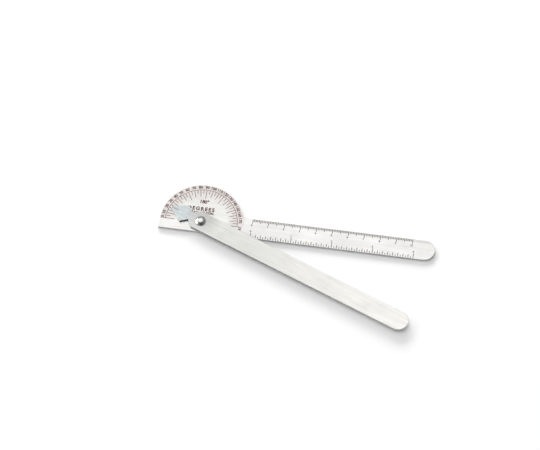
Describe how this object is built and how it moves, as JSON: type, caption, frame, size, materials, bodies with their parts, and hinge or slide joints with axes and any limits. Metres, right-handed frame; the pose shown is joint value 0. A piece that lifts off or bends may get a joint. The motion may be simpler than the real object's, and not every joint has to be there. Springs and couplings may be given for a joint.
{
  "type": "goniometer",
  "caption": "Pocket goniometer: half-round protractor dial and ruler in one steel strip, with a riveted pointer arm that turns to read an angle.",
  "frame": {"origin": "where the pivot axis meets the flat back that the instrument rests on", "axes": "+X along the ruler from the pivot to its tip, +Y from the pivot to the 90 degree mark, +Z along the pivot axis from the back towards the reader"},
  "size_m": [0.1726, 0.0823, 0.0044],
  "materials": {
    "satin_steel_dial": "satin brushed stainless steel, grain along the ruler",
    "satin_steel_arm": "satin brushed stainless steel, grain along the arm",
    "polished_rivet": "polished stainless steel rivet",
    "bronze_spacer": "plain phosphor bronze washer",
    "spring_steel": "dark spring steel washer",
    "dial_enamel": "reddish brown enamel in etched marks",
    "ruler_enamel": "dark brown enamel in etched marks",
    "pointer_enamel": "black enamel in an etched line"
  },
  "bodies": {
    "dial": {"dial_arm": "satin_steel_dial", "pivot_rivet": "polished_rivet", "spacer_washer": "bronze_spacer", "spring_washer": "spring_steel", "degree_scale_line": "dial_enamel", "five_degree_ticks": "dial_enamel", "ten_degree_ticks": "dial_enamel", "thirty_degree_ticks": "dial_enamel", "millimetre_marks": "ruler_enamel", "half_centimetre_marks": "ruler_enamel", "centimetre_marks": "ruler_enamel", "sixteenth_inch_marks": "ruler_enamel", "eighth_inch_marks": "ruler_enamel", "inch_marks": "ruler_enamel"},
    "pointer": {"pointer_arm": "satin_steel_arm", "pointer_index_line": "pointer_enamel"}
  },
  "joints": [
    {"name": "pointer_pivot", "type": "hinge", "parent": "dial", "child": "pointer", "pos_m": [0, 0, 0], "axis": [0, 0, 1], "continuous": true}
  ]
}
